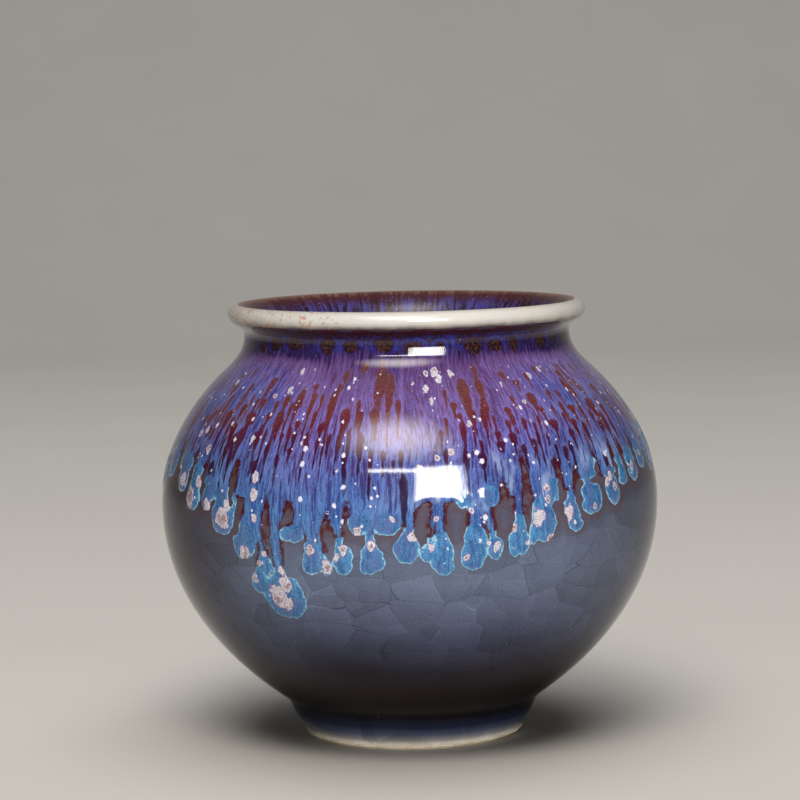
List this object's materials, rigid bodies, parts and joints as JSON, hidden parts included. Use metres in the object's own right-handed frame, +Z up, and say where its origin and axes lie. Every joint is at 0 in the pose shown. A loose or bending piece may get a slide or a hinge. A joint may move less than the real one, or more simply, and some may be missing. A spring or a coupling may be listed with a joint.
{
  "type": "stoneware vase",
  "caption": "Squat round-bellied glazed stoneware vase with a small foot ring, rolled lip and a dripping blue overglaze over a crackled grey glaze.",
  "frame": {"origin": "centre of the foot ring at the table", "axes": "+Z up along the wheel's axis; -Y towards the viewer of the longest glaze run's side, +X to that viewer's right"},
  "size_m": [0.1606, 0.1614, 0.1394],
  "materials": {
    "bare_stoneware": "matt, fine grained",
    "luting_slip": "matt",
    "slate_crackle_glaze": "gloss, crackled",
    "blue_flow_glaze": "high gloss, streaked and speckled",
    "cream_lip_glaze": "gloss",
    "liner_glaze": "gloss, streaked"
  },
  "bodies": {
    "root": {"foot_ring": "bare_stoneware", "lower_bowl": "bare_stoneware", "shoulder_section": "bare_stoneware", "collar_section": "bare_stoneware", "foot_luting_slip": "luting_slip", "belly_luting_slip": "luting_slip", "collar_luting_slip": "luting_slip", "base_glaze": "slate_crackle_glaze", "flow_glaze": "blue_flow_glaze", "lip_glaze": "cream_lip_glaze", "liner_glaze": "liner_glaze", "foot_well_glaze": "slate_crackle_glaze"}
  },
  "joints": []
}
